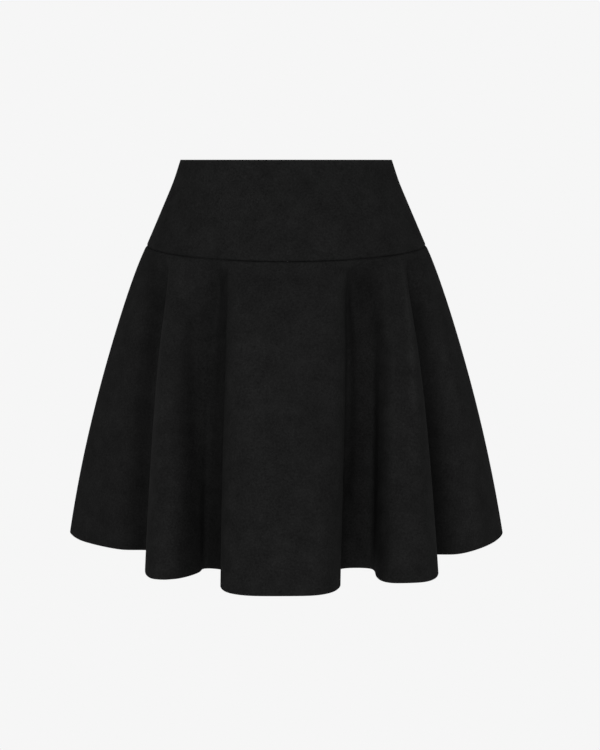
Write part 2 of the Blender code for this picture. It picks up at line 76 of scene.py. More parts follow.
# A fold at the hem is a rounded lobe: its crest, and how far the cloth goes aside and back on
# each side of it; square says how boxy that side is
Side = namedtuple("Side", "width depth square")
Fold = namedtuple("Fold", "name azimuth reach facing rise fall")
FOLDS = (
    Fold("front_centre", -1.0, 0.2545, 0.0, Side(0.0680, 0.110, 4.0), Side(0.067, 0.117, 4.0)),
    Fold("front_right", 32.8, 0.2385, 0.0, Side(0.0310, 0.066, 3.0), Side(0.043, 0.112, 3.6)),
    Fold("side_right", 97.0, 0.2680, 90.0, Side(0.1180, 0.100, 1.6), Side(0.070, 0.084, 1.6)),
    Fold("back_right", 148.0, 0.2480, 176.0, Side(0.0380, 0.092, 3.0), Side(0.032, 0.060, 3.0)),
    Fold("back_centre", 180.0, 0.2420, 180.0, Side(0.0620, 0.096, 3.2), Side(0.062, 0.088, 3.2)),
    Fold("back_left", 214.0, 0.2450, 185.0, Side(0.0310, 0.062, 2.8), Side(0.038, 0.088, 2.8)),
    Fold("side_left", 263.0, 0.2705, 270.0, Side(0.0680, 0.088, 1.5), Side(0.095, 0.106, 1.5)),
    Fold("front_left", 323.9, 0.2270, 0.0, Side(0.0260, 0.112, 3.2), Side(0.043, 0.050, 1.5)),
)

# Where each fold hangs from the yoke seam, as azimuths: its first foot and edge, then its last
Hang = namedtuple("Hang", "rise_foot rise_edge fall_edge fall_foot")
HANGS = {
    "front_centre": Hang(-22.7, -21.5, 23.5, 24.9),
    "front_right": Hang(38.6, 39.8, 53.8, 55.2),
    "side_right": Hang(61.0, 67.0, 102.0, 110.0),
    "back_right": Hang(129.0, 131.0, 143.0, 144.8),
    "back_centre": Hang(156.0, 158.0, 202.0, 204.0),
    "back_left": Hang(216.0, 218.0, 231.0, 233.0),
    "side_left": Hang(250.0, 258.0, 292.0, 300.5),
    "front_left": Hang(306.6, 307.9, 322.5, 332.0),
}
HANG_SOFTNESS = 0.012

# Between two folds the cloth falls in a little under the yoke seam
Hollow = namedtuple("Hollow", "azimuth width depth")
HOLLOWS = (
    Hollow(31.0, 6.0, 0.0150),
    Hollow(58.5, 5.0, 0.0120),
    Hollow(119.5, 6.0, 0.0080),
    Hollow(150.5, 5.5, 0.0100),
    Hollow(210.0, 5.5, 0.0100),
    Hollow(241.5, 6.0, 0.0080),
    Hollow(303.0, 5.0, 0.0130),
    Hollow(331.0, 4.5, 0.0130),
)
HOLLOW_PLACE = 0.12
LOBE_ANGLES = (25.0, 50.0, 72.0)
ROOT_WIDTH = 0.9
VALLEY_ROUNDING = 0.15
SPLINE_STEPS = 24
SOFT_SAMPLES = 13
HEM_SAMPLES = 4001
AZIMUTH_STEP = 0.5
FRACTION_SAMPLES = 2400


def heading(azimuth):
    """Unit plan vectors pointing out from the middle at azimuths in degrees."""
    turn = np.radians(azimuth)
    return np.stack([np.sin(turn), -np.cos(turn)], axis=-1)


def section_size(drop, column):
    """One column of SECTIONS at any drop, through a smooth cubic."""
    table = np.array(SECTIONS)
    drops, sizes = table[:, 0], table[:, Section._fields.index(column)]
    slopes = np.gradient(sizes, drops)
    low = np.clip(np.searchsorted(drops, drop) - 1, 0, len(drops) - 2)
    step = drops[low + 1] - drops[low]
    t = (drop - drops[low]) / step
    return ((2 * t**3 - 3 * t**2 + 1) * sizes[low] + (t**3 - 2 * t**2 + t) * step * slopes[low]
            + (3 * t**2 - 2 * t**3) * sizes[low + 1] + (t**3 - t**2) * step * slopes[low + 1])


def oval_point(drop, azimuth):
    """Points of the figure's oval at a drop below the waist."""
    turn = np.radians(azimuth)
    in_front = np.cos(turn) > 0
    depth = np.where(in_front, section_size(drop, "front_depth"), section_size(drop, "back_depth"))
    across = section_size(drop, "half_width") * np.sin(turn)
    return np.stack([across, -depth * np.cos(turn), -drop * np.ones_like(turn)], axis=-1)


def seam_drop(azimuth):
    """How far the yoke seam lies below the waist."""
    return SEAM_SIDE_DROP + SEAM_DIP * np.abs(np.cos(np.radians(azimuth))) ** SEAM_DIP_POWER


def lobe_points(fold):
    """Plan points over one fold at the hem, each with the seam azimuth it hangs from, and its roots."""
    crest = fold.reach * heading(fold.azimuth)
    out, along = heading(fold.facing), heading(fold.facing + 90.0)
    hang = HANGS[fold.name]
    middle = fold.rise.width / (fold.rise.width + fold.fall.width)
    crest_azimuth = hang.rise_edge + (hang.fall_edge - hang.rise_edge) * middle

    def on_side(side, way, edge, degrees):
        angle, power = math.radians(degrees), 2.0 / side.square
        across, back = math.cos(angle) ** power, 1 - math.sin(angle) ** power
        place = crest + along * way * side.width * across - out * side.depth * back
        share = across / math.cos(math.radians(LOBE_ANGLES[0])) ** power
        return place, crest_azimuth + (edge - crest_azimuth) * share

    rise = [on_side(fold.rise, -1, hang.rise_edge, degrees) for degrees in LOBE_ANGLES]
    fall = [on_side(fold.fall, 1, hang.fall_edge, degrees) for degrees in reversed(LOBE_ANGLES)]
    rise_root = crest - along * fold.rise.width * ROOT_WIDTH - out * fold.rise.depth
    fall_root = crest + along * fold.fall.width * ROOT_WIDTH - out * fold.fall.depth
    return rise + [(crest, crest_azimuth)] + fall, rise_root, fall_root


def hem_controls():
    """Plan points that the hem passes through, lobe by lobe and valley by valley, and their azimuths."""
    lobes = [lobe_points(fold) for fold in FOLDS]
    points = []
    for i, (lobe, _, fall_root) in enumerate(lobes):
        following = (i + 1) % len(FOLDS)
        floor = lobes[following][1] - fall_root
        foot = HANGS[FOLDS[i].name].fall_foot
        spread = np.mod(HANGS[FOLDS[following].name].rise_foot - foot, 360.0)
        points += lobe
        for share in (VALLEY_ROUNDING, 1 - VALLEY_ROUNDING):
            points.append((fall_root + floor * share, foot + spread * share))
    return [place for place, _ in points], np.array([azimuth for _, azimuth in points])


def between(t, low, high, start, end):
    """Points at t on a line that is at low where t is start, and at high where t is end."""
    return ((end - t) * low + (t - start) * high) / (end - start)


def closed_spline(points):
    """A closed centripetal Catmull-Rom curve through plan points."""
    curve = []
    for i in range(len(points)):
        p0, p1, p2, p3 = (points[(i + k - 1) % len(points)] for k in range(4))
        k1 = np.linalg.norm(p1 - p0) ** 0.5
        k2 = k1 + np.linalg.norm(p2 - p1) ** 0.5
        k3 = k2 + np.linalg.norm(p3 - p2) ** 0.5
        t = np.linspace(k1, k2, SPLINE_STEPS, endpoint=False)[:, None]
        rows = [between(t, *ends) for ends in ((p0, p1, 0.0, k1), (p1, p2, k1, k2), (p2, p3, k2, k3))]
        curve.append(between(t, between(t, *rows[:2], 0.0, k2), between(t, *rows[1:], k1, k3), k1, k2))
    return np.concatenate(curve)


class Ring:
    """A closed line that gives its points by share of its length."""

    def __init__(self, points):
        self.closed = np.vstack([points, points[:1]])
        steps = np.linalg.norm(np.diff(self.closed, axis=0), axis=1)
        along = np.concatenate([[0.0], np.cumsum(steps)])
        self.length = along[-1]
        self.shares = along / self.length

    def at(self, share):
        """Points at shares of the length."""
        wrapped = np.mod(share, 1.0)
        axes = range(self.closed.shape[1])
        return np.stack([np.interp(wrapped, self.shares, self.closed[:, k]) for k in axes], axis=-1)

    def fractions(self, low, high, count, turn_weight):
        """Fractions from low to high that crowd where the line turns."""
        share = np.linspace(low, high, FRACTION_SAMPLES)
        step = np.diff(self.at(share), axis=0)
        length = np.linalg.norm(step, axis=1)
        way = np.unwrap(np.arctan2(step[:, 1], step[:, 0]))
        turn = np.abs(np.diff(way, append=way[-1]))
        effort = np.concatenate([[0.0], np.cumsum(length + turn_weight * turn)])
        return np.interp(np.linspace(0.0, effort[-1], count), effort, np.linspace(0.0, 1.0, len(effort)))


AZIMUTHS = np.arange(0.0, 360.0, AZIMUTH_STEP)
WAIST_RING = Ring(oval_point(np.zeros(len(AZIMUTHS)), AZIMUTHS))
SEAM_RING = Ring(oval_point(seam_drop(AZIMUTHS), AZIMUTHS))


def unrolled_seam():
    """Azimuths over three turns of the yoke seam, from -360, and their shares."""
    turn = SEAM_RING.shares[:-1]
    shares = np.concatenate([turn - 1, turn, turn + 1, [2.0]])
    return np.linspace(-360.0, 720.0, len(shares)), shares


def hem_ring():
    """The hem in plan, where each place's share is that of the seam that it hangs from."""
    controls, azimuths = hem_controls()
    ring = Ring(closed_spline(controls))
    along = ring.shares * ring.length
    hung = np.interp(np.append(azimuths, azimuths[0] + 360.0), *unrolled_seam())
    share = np.interp(along, along[::SPLINE_STEPS], hung)
    around = np.concatenate([along[:-1] - ring.length, along[:-1], along + ring.length])
    shares = np.concatenate([share[:-1] - 1, share[:-1], share + 1])
    places = np.concatenate([ring.closed[:-1], ring.closed[:-1], ring.closed])
    window = np.linspace(-HANG_SOFTNESS, HANG_SOFTNESS, SOFT_SAMPLES)
    soft = np.mean([np.interp(around + offset, around, shares) for offset in window], axis=0)
    even = np.linspace(0.0, 1.0, HEM_SAMPLES)
    points = np.stack([np.interp(even, soft, places[:, k]) for k in range(2)], axis=-1)
    hem = Ring(points[:-1])
    hem.shares = even
    return hem


SIDE_SHARE = float(np.interp(90.0, AZIMUTHS, SEAM_RING.shares[:-1]))
BACK_SHARE = 0.5
HEM_RING = hem_ring()


def azimuth_at(share):
    """Azimuth of a share of the yoke seam."""
    return np.interp(np.mod(share, 1.0), SEAM_RING.shares, np.append(AZIMUTHS, 360.0))


def yoke_point(share, down):
    """Outer face of the yoke; down runs from 0 at the waist to 1 at the yoke seam."""
    azimuth = azimuth_at(share)
    return oval_point(down * seam_drop(azimuth), azimuth)


def yoke_flare(azimuth):
    """How fast the figure's oval widens with the drop, at the yoke seam."""
    step = 0.002
    low = oval_point(seam_drop(azimuth), azimuth)[..., :2]
    high = oval_point(seam_drop(azimuth) - step, azimuth)[..., :2]
    return (np.linalg.norm(low, axis=-1) - np.linalg.norm(high, axis=-1)) / step


def hollow_depth(azimuth, down):
    """How far the cloth falls in between the folds, most of it just below the yoke seam."""
    across = sum(h.depth * np.exp(-(((azimuth - h.azimuth) / h.width) ** 2)) for h in HOLLOWS)
    return across * (down / HOLLOW_PLACE * np.exp(1 - down / HOLLOW_PLACE)) ** 2


def skirt_point(share, down):
    """Outer face of the skirt; down runs from 0 at the yoke seam to 1 at the hem."""
    share, down = np.broadcast_arrays(share, down)
    top = SEAM_RING.at(share)
    hem = HEM_RING.at(share)
    run = np.linalg.norm(hem - top[..., :2], axis=-1)
    hem_level = -(HEM_DROP + HEM_SWING * (MEAN_RUN - np.maximum(run, LEAST_RUN)))
    hold = np.exp(-down / FOLD_ONSET)
    lag = FOLD_ONSET * (1 - hold)
    full_lag = FOLD_ONSET * (1 - math.exp(-1 / FOLD_ONSET))
    opening = (down - lag) / (1 - full_lag)
    outwards = hem - top[..., :2]
    facing = (outwards[..., 1] / run) ** 2
    spring = SPRING * facing * opening * np.exp(-down / SPRING_FADE)
    spread = opening + BULGE * 4 * down * (1 - down) + spring
    azimuth = azimuth_at(share)
    flare = yoke_flare(azimuth) * (hold + (1 - hold) * np.minimum(run / MEAN_RUN, 1.0))
    swell = flare * SKIRT_LENGTH * (down - opening) - hollow_depth(azimuth, down)
    out = top[..., :2] / np.linalg.norm(top[..., :2], axis=-1, keepdims=True)
    plan = top[..., :2] + outwards * spread[..., None] + out * swell[..., None]
    level = top[..., 2] + (hem_level - top[..., 2]) * down
    return np.concatenate([plan, level[..., None]], axis=-1)


YOKE_LENGTH = float(np.linalg.norm(yoke_point(BACK_SHARE, 1.0) - yoke_point(BACK_SHARE, 0.0)))


def round_length(run):
    """Length once round the skirt, at a run along the cloth from the waist."""
    lengths = (WAIST_RING.length, SEAM_RING.length, HEM_RING.length)
    return np.interp(run, (0.0, YOKE_LENGTH, YOKE_LENGTH + SKIRT_LENGTH), lengths)


def cloth_face(share, run):
    """Outer face of the whole garment, yoke and skirt, at shares and runs."""
    share, run = np.broadcast_arrays(share, run)
    on_yoke = yoke_point(share, np.minimum(run, YOKE_LENGTH) / YOKE_LENGTH)
    on_skirt = skirt_point(share, (run - YOKE_LENGTH) / SKIRT_LENGTH)
    return np.where((run < YOKE_LENGTH)[..., None], on_yoke, on_skirt)


def cloth_normal(share, run, low, high):
    """Outward normals of the cloth, taken inside one panel's runs from low to high."""
    step_share, step_run = 0.0012, 0.0015
    above, below = np.maximum(run - step_run, low), np.minimum(run + step_run, high)
    across = cloth_face(share + step_share, run) - cloth_face(share - step_share, run)
    downwards = cloth_face(share, below) - cloth_face(share, above)
    normal = np.cross(downwards, across)
    return normal / np.linalg.norm(normal, axis=-1, keepdims=True)


# Cloth: one layer, turned in at the waist and up at the hem, and sunk at its seams

LAYER = 0.0012
HALF_GAP = 0.00012
HEM_TURN = 0.028
HEM_DEPTH = 0.0024
WAIST_TURN = 0.013
WAIST_DEPTH = 0.0020
SEAM_SINK = 0.0010
SEAM_SINK_WIDTH = 0.0034
SEAM_FADE = 0.0006
EDGE_FADE = 0.0015
EDGE_CLEAR = 1e-6
ARC_ANGLES = (11.25, 33.75, 56.25, 78.75)
GARMENT_LENGTH = YOKE_LENGTH + SKIRT_LENGTH

# The slit between the back pieces opens round the slider's neck
SLIDER_RUN = 0.009
SLIT_HALF = 0.0009
SLIT_LEVEL = 0.003
SLIT_TAPER = 0.006

# Soft creases on the skirt: from one place to another, how wide, and how high or deep
Crease = namedtuple("Crease", "share run end_share end_run width height")
CREASES = [Crease(*row) for row in (
    (0.930, 0.150, 0.925, 0.330, 0.0110, -0.0008),
    (0.985, 0.135, 0.978, 0.300, 0.0140, 0.0007),
    (0.030, 0.140, 0.034, 0.280, 0.0120, -0.0007),
    (0.075, 0.200, 0.070, 0.440, 0.0120, 0.0008),
    (0.160, 0.140, 0.175, 0.320, 0.0130, -0.0009),
    (0.210, 0.220, 0.214, 0.450, 0.0150, 0.0009),
    (0.285, 0.135, 0.290, 0.290, 0.0120, -0.0008),
    (0.345, 0.200, 0.352, 0.430, 0.0140, 0.0010),
    (0.420, 0.145, 0.414, 0.330, 0.0120, -0.0008),
    (0.470, 0.260, 0.474, 0.450, 0.0130, 0.0008),
    (0.548, 0.140, 0.552, 0.310, 0.0120, -0.0009),
    (0.610, 0.210, 0.604, 0.440, 0.0140, 0.0009),
    (0.690, 0.140, 0.684, 0.300, 0.0130, -0.0008),
    (0.745, 0.230, 0.749, 0.455, 0.0150, 0.0010),
    (0.820, 0.150, 0.812, 0.340, 0.0120, -0.0008),
    (0.868, 0.240, 0.872, 0.440, 0.0120, 0.0007),
)]
CREASE_START = 0.15
CREASE_SPAN = 0.7

# Waves that nothing repeats: how many go once round, where they start and how high they are
PUCKERS = ((47, 0.13, 0.00010), (71, 0.58, 0.00012), (103, 0.31, 0.00009), (29, 0.77, 0.00010))
PUCKER_FADE = 0.009
HEM_WAVES = ((19, 0.42, 0.0004), (31, 0.07, 0.0003), (11, 0.66, 0.0005))
HEM_WAVE_FADE = 0.06

# Painted shade and painted highlight along the folds: the colour darker deep beside a fold, where shade
# falls, and lighter along a fold's lit edge
PaintedFoldShade = namedtuple("PaintedFoldShade", "azimuth width amount start end")
PAINTED_FOLD_SHADES = [PaintedFoldShade(*row) for row in (
    (29.4, 1.4, -0.42, 0.140, 0.420),
    (35.1, 4.9, -0.33, 0.112, 0.175),
    (36.6, 3.4, 0.33, 0.195, 0.520),
    (38.1, 2.4, 0.28, 0.230, 0.520),
    (41.4, 1.4, -0.18, 0.195, 0.520),
    (50.0, 1.2, 0.33, 0.112, 0.310),
    (62.0, 2.7, -0.39, 0.160, 0.520),
    (63.4, 3.8, -0.15, 0.280, 0.520),
    (70.6, 3.3, 0.22, 0.210, 0.490),
    (117.5, 3.2, -0.30, 0.150, 0.520),
    (131.5, 1.8, 0.22, 0.115, 0.400),
    (152.0, 2.4, -0.34, 0.130, 0.450),
    (158.5, 1.5, 0.24, 0.115, 0.340),
    (202.0, 1.7, 0.24, 0.115, 0.380),
    (208.0, 2.3, -0.34, 0.130, 0.500),
    (230.5, 1.9, 0.20, 0.115, 0.320),
    (244.0, 3.1, -0.30, 0.150, 0.520),
    (292.9, 4.4, -0.22, 0.112, 0.190),
    (298.0, 4.3, -0.32, 0.150, 0.520),
    (308.4, 2.1, 0.33, 0.112, 0.410),
    (315.0, 1.8, 0.20, 0.340, 0.520),
    (319.8, 3.8, -0.22, 0.170, 0.340),
    (326.9, 3.6, 0.32, 0.265, 0.490),
    (328.4, 1.5, 0.20, 0.150, 0.300),
    (335.0, 3.0, -0.33, 0.112, 0.520),
    (349.9, 5.2, 0.15, 0.190, 0.300),
)]
PAINTED_SHADE_RAMP = 0.03


def zip_slit(run):
    """Half the slit at the centre back: a plain seam, spread round the slider's neck."""
    beyond = np.maximum(0.0, np.abs(run - SLIDER_RUN) - SLIT_LEVEL)
    spread = np.maximum(0.0, 1 - beyond / SLIT_TAPER)
    return HALF_GAP + (SLIT_HALF - HALF_GAP) * spread


def plain_seam(run):
    """Half the gap at a plain seam."""
    return HALF_GAP * np.ones_like(run)


def seam_sink(distance):
    """How far the cloth sinks at a distance from a seam."""
    return -SEAM_SINK * np.clip(1 - distance / SEAM_SINK_WIDTH, 0.0, 1.0) ** 2


def side_distance(share, run):
    """How far a place lies from the nearest side seam or the centre back seam."""
    seams = (SIDE_SHARE, BACK_SHARE, 1 - SIDE_SHARE)
    turns = [np.abs(np.mod(share - seam + 0.5, 1.0) - 0.5) for seam in seams]
    return np.min(turns, axis=0) * round_length(run)


def waves(share, table):
    """A sum of waves round the skirt."""
    return sum(height * np.sin(2 * math.pi * (count * share + start)) for count, start, height in table)


def crease_lift(share, run):
    """How far the soft creases lift the cloth."""
    lift = np.zeros_like(run)
    for crease in CREASES:
        around = round_length((crease.run + crease.end_run) / 2)
        line = np.array([(crease.end_share - crease.share) * around, crease.end_run - crease.run])
        offset_x, offset_y = (share - crease.share) * around, run - crease.run
        along = np.clip((offset_x * line[0] + offset_y * line[1]) / (line @ line), 0.0, 1.0)
        away = np.hypot(offset_x - along * line[0], offset_y - along * line[1])
        fade = np.sin(math.pi * (CREASE_START + CREASE_SPAN * along)) ** 2
        lift += crease.height * np.exp(-((away / crease.width) ** 2)) * fade
    return lift


def smooth_step(value):
    """A smooth rise from 0 to 1 as the value goes from 0 to 1."""
    value = np.clip(value, 0.0, 1.0)
    return value * value * (3 - 2 * value)


def painted_fold_shade(share, run):
    """Painted shade and painted highlight: how much darker or lighter the colour is made, by its place in
    the folds below the yoke seam.
    """
    azimuth = azimuth_at(share)
    painted_shade = np.zeros_like(azimuth)
    for mark in PAINTED_FOLD_SHADES:
        across = np.exp(-(((azimuth - mark.azimuth) / mark.width) ** 2))
        along = smooth_step((run - mark.start) / PAINTED_SHADE_RAMP) * smooth_step((mark.end - run) / PAINTED_SHADE_RAMP)
        painted_shade += mark.amount * across * along
    return np.where(run > YOKE_LENGTH, painted_shade, 0.0)


def cloth_lift(share, run):
    """Everything that moves the cloth off its plain form."""
    from_seam = np.abs(run - YOKE_LENGTH)
    puckers = waves(share, PUCKERS) * np.exp(-from_seam / PUCKER_FADE)
    hem = waves(share, HEM_WAVES) * np.exp(-(GARMENT_LENGTH - run) / HEM_WAVE_FADE)
    sink = seam_sink(from_seam) + seam_sink(side_distance(share, run))
    return crease_lift(np.mod(share, 1.0), run) + puckers + hem + sink


def panel_limits(run):
    """The runs that the panel under a run lies between."""
    return (0.0, YOKE_LENGTH - EDGE_CLEAR) if np.max(run) <= YOKE_LENGTH else (YOKE_LENGTH, GARMENT_LENGTH)


def cloth_place(share, run, depth):
    """Places at a depth inside the cloth's outer face, and the outward normals there."""
    share, run, depth = np.broadcast_arrays(share, run, depth)
    limits = panel_limits(run)
    normal = cloth_normal(share, np.clip(run, *limits), *limits)
    return cloth_face(share, run) + normal * (cloth_lift(share, run) - depth)[..., None], normal


Cut = namedtuple("Cut", "inner_radius angle length")


def sector(top_length, low_length, slant):
    """The flat cut of a flared ring: part of a disc with a hole in it."""
    angle = (low_length - top_length) / slant
    return Cut(top_length / angle, angle, slant)


YOKE_CUT = sector(WAIST_RING.length, SEAM_RING.length, YOKE_LENGTH)
SKIRT_CUT = sector(SEAM_RING.length, HEM_RING.length, SKIRT_LENGTH)


def flat_place(cut, share, run, middle):
    """Where the cloth at a share and a run from the cut's top lay in its flat cut."""
    radius = cut.inner_radius + run
    turn = cut.angle * (share - middle)
    return np.stack([radius * np.sin(turn), -radius * np.cos(turn)], axis=-1)


def link_object(name, data):
    """A new object at the origin for its data."""
    piece = bpy.data.objects.new(name, data)
    bpy.context.scene.collection.objects.link(piece)
    return piece


def mesh_object(name, vertices, faces, material, flat=None, marks=None):
    """A mesh piece at the origin, smooth, with its flat cut as UV map and its marks as attributes."""
    mesh = bpy.data.meshes.new(name)
    mesh.from_pydata([tuple(v) for v in vertices], [], faces)
    mesh.shade_smooth()
    mesh.materials.append(material)
    if flat is not None:
        corner = np.zeros(len(mesh.loops), dtype=np.int32)
        mesh.loops.foreach_get("vertex_index", corner)
        layer = mesh.uv_layers.new(name="flat_cut")
        layer.data.foreach_set("uv", flat[corner].ravel())
    for label, values in (marks or {}).items():
        attribute = mesh.attributes.new(label, "FLOAT", "POINT")
        attribute.data.foreach_set("value", values.ravel())
    return link_object(name, mesh)


def face_outwards(piece):
    """Turn every closed part of a mesh so that its faces look outwards."""
    shell = bmesh.new()
    shell.from_mesh(piece.data)
    bmesh.ops.recalc_face_normals(shell, faces=shell.faces)
    shell.to_mesh(piece.data)
    shell.free()


def loop_faces(rows, columns):
    """Faces of a closed band of rows, with its two open ends closed as ladders."""
    faces = []
    for r in range(rows):
        low, high = r * columns, (r + 1) % rows * columns
        faces += [(low + c, high + c, high + c + 1, low + c + 1) for c in range(columns - 1)]
    last = columns - 1
    for r in range(rows // 2 - 1):
        outer, inner = r * columns, (rows - 1 - r) * columns
        faces.append((outer, inner, inner - columns, outer + columns))
        faces.append((outer + last, outer + columns + last, inner - columns + last, inner + last))
    return faces


# The panels: two bands, each running from the yoke seam to its own fold, at the waist or the hem

Panel = namedtuple("Panel", "node low high gaps")
Band = namedtuple("Band", "panels fold way turn depth ring cut top row_step column_step turn_weight")
FINE_ROWS = np.array([0.0, 0.0004, 0.0009, 0.0015, 0.0023, 0.0034, 0.005, 0.0075])
FINE_COLUMNS = np.array([0.0, 0.0005, 0.0011, 0.0018, 0.0027, 0.0038, 0.0055])
FINE_CLEAR = 1.3
TURN_STEP = 0.0006


def panels_of(band, back_gap):
    """A band's three panels: their nodes, their first and last shares, and half the gap at each."""
    places = (
        ("front", -SIDE_SHARE, SIDE_SHARE, (plain_seam, plain_seam)),
        ("back_right", SIDE_SHARE, BACK_SHARE, (plain_seam, back_gap)),
        ("back_left", BACK_SHARE, 1 - SIDE_SHARE, (back_gap, plain_seam)),
    )
    return [Panel(f"{band}_{place}", *limits) for place, *limits in places]


YOKE = Band(panels_of("yoke", zip_slit), fold=0.0, way=-1, turn=WAIST_TURN, depth=WAIST_DEPTH,
            ring=SEAM_RING, cut=YOKE_CUT, top=0.0, row_step=0.0045, column_step=0.0045, turn_weight=0.0)
SKIRT = Band(panels_of("skirt", plain_seam), fold=GARMENT_LENGTH, way=1, turn=HEM_TURN, depth=HEM_DEPTH,
             ring=HEM_RING, cut=SKIRT_CUT, top=YOKE_LENGTH, row_step=0.0048, column_step=0.0034,
             turn_weight=0.02)


def turned_edge(band, beyond=0.0):
    """The run of the turned-in edge, or of a line that lies beyond it towards the yoke seam."""
    return band.fold - band.way * band.turn - band.way * beyond


def panel_rows(band):
    """Outer and inner rows of (run, depth), fine at the yoke seam; the cloth doubles over the fold."""
    seam = list(YOKE_LENGTH + band.way * HALF_GAP + band.way * FINE_ROWS)
    edge = band.fold - band.way * band.depth / 2
    low, high = sorted((seam[-1], edge))
    even = np.arange(low + band.row_step, high - band.row_step / 3, band.row_step)
    runs = sorted({edge, turned_edge(band), turned_edge(band, TURN_STEP), *seam, *even})
    outer = [(run, 0.0) for run in runs]
    inner = [(run, band.depth if abs(run - band.fold) <= band.turn else LAYER) for run in runs]
    radius = band.depth / 2
    for degrees in ARC_ANGLES:
        angle = math.radians(degrees)
        place = band.fold - band.way * radius * (1 - math.sin(angle))
        rise = radius * math.cos(angle)
        index = len(outer) if band.way > 0 else 0
        outer.insert(index, (place, radius - rise))
        inner.insert(index, (place, radius + rise))
    return outer, inner


def panel_fractions(panel, band):
    """Column fractions that crowd at a panel's two seams and where the hem turns."""
    around = band.ring.length * (panel.high - panel.low)
    fine = FINE_COLUMNS / around
    even = band.ring.fractions(panel.low, panel.high, int(around / band.column_step), band.turn_weight)
    middle = even[(even > fine[-1] * FINE_CLEAR) & (even < 1 - fine[-1] * FINE_CLEAR)]
    return np.concatenate([fine, middle, 1 - fine[::-1]])


def make_panel(panel, band, material):
    """A closed panel between its two side seams."""
    outer, inner = panel_rows(band)
    run, depth = (column[:, None] for column in np.array(outer + inner[::-1]).T)
    around = round_length(run)
    first = panel.low + panel.gaps[0](run) / around
    last = panel.high - panel.gaps[1](run) / around
    share = first + (last - first) * panel_fractions(panel, band)
    run = np.broadcast_to(run, share.shape)
    points, _ = cloth_place(share, run, depth)
    flat = flat_place(band.cut, share, run - band.top, (panel.low + panel.high) / 2)
    from_seam = np.minimum(np.abs(run - YOKE_LENGTH), side_distance(share, run))
    # Marks for the finish: rubbed folded edges, the seams' painted shadow, and the painted shade and
    # highlight along the folds
    marks = {"folded_edge": np.exp(-np.abs(run - band.fold) / EDGE_FADE),
             "seam": np.exp(-from_seam / SEAM_FADE), "painted_fold_shade": painted_fold_shade(share, run)}
    return mesh_object(f"{panel.node}_cloth", points.reshape(-1, 3), loop_faces(*share.shape), material,
                       flat.reshape(-1, 2), marks)


# Inside: the panels' edges are pressed open beside each seam and overlocked

ALLOWANCE = 0.0090
ALLOWANCE_START = 0.0006
ALLOWANCE_DEPTHS = (0.00125, 0.00195)
ALLOWANCE_ROWS = 5
ALLOWANCE_MARGIN = 0.0015
ALONG_STEP = 0.004
OVERLOCK_INSET = 0.0011
OVERLOCK_RISE = 0.0001
OVERLOCK_MARGIN = 0.003
STITCH_INSET = 0.0003
STITCH_MARGIN = 0.004

Thread = namedtuple("Thread", "pitch width height radius")
OVERLOCK = Thread(0.0026, 0.0011, 0.00035, 0.00013)
BLIND_STITCH = Thread(0.0090, 0.0012, 0.00050, 0.00010)
COIL = Thread(0.00125, 0.00085, 0.0013, 0.00028)
LOOP_STEPS = 5
THREAD_SIDES = 4
# A loop's middle control lies this many times its width aside and its height up
LOOP_REACH = 3.0
LOOP_RISE = 2.0

# The zip's coil of teeth, from its top stop to below the yoke seam
COIL_TOP = 0.0035
COIL_END = YOKE_LENGTH + 0.074
COIL_DEPTH = 0.0031
COIL_ASIDE = 0.00085

# The stitching that joins the panels, seen as a dark line deep in each seam
SEAM_THREAD_HALF = 0.0002
SEAM_THREAD_DEPTHS = (0.0006, 0.0010)
SEAM_THREAD_END = 0.0014
SEAM_THREAD_STEP = 0.003
SEAM_THREAD_MARGIN = 0.0012
SEAM_CLEAR = 1e-5


class ThreadLine:
    """Paths that threads follow inside the skirt, gathered as one mesh of edges."""

    def __init__(self):
        self.points, self.edges, self.inwards = [], [], []

    def add(self, share, run, depth):
        """Add one path through places at a depth; a thread there rises towards the inside."""
        points, normal = cloth_place(share, run, depth)
        start = len(self.points)
        self.points += [tuple(point) for point in points]
        self.inwards += [tuple(-way) for way in normal]
        self.edges += [(k, k + 1) for k in range(start, start + len(points) - 1)]

    def holder(self, name):
        """A passing object that carries the paths for the thread's node tree."""
        mesh = bpy.data.meshes.new(name)
        mesh.from_pydata(self.points, self.edges, [])
        ways = mesh.attributes.new("inwards", "FLOAT_VECTOR", "POINT")
        ways.data.foreach_set("vector", np.array(self.inwards).ravel())
        return link_object(name, mesh)


class Strips:
    """Thin strips between two depths inside the skirt, gathered as one mesh."""

    def __init__(self, depths):
        self.depths = depths
        self.points, self.faces, self.flat = [], [], []

    def add(self, shares, runs):
        """Add one strip, from rows of shares and runs."""
        shares, runs = np.broadcast_arrays(shares, runs)
        outer, inner = (cloth_place(shares, runs, depth)[0] for depth in self.depths)
        flat = np.stack([shares * SEAM_RING.length, runs], axis=-1)
        points, flat = (np.concatenate(rows) for rows in ((outer, inner[::-1]), (flat, flat[::-1])))
        start = len(self.points)
        self.faces += [tuple(start + index for index in face) for face in loop_faces(*points.shape[:2])]
        self.points += [tuple(point) for point in points.reshape(-1, 3)]
        self.flat.append(flat.reshape(-1, 2))

    def make(self, name, material, flat=None):
        """Keep the strips as one piece on the skirt's body."""
        piece = mesh_object(name, self.points, self.faces, material, flat)
        face_outwards(piece)
        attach(piece, "skirt")
        return piece


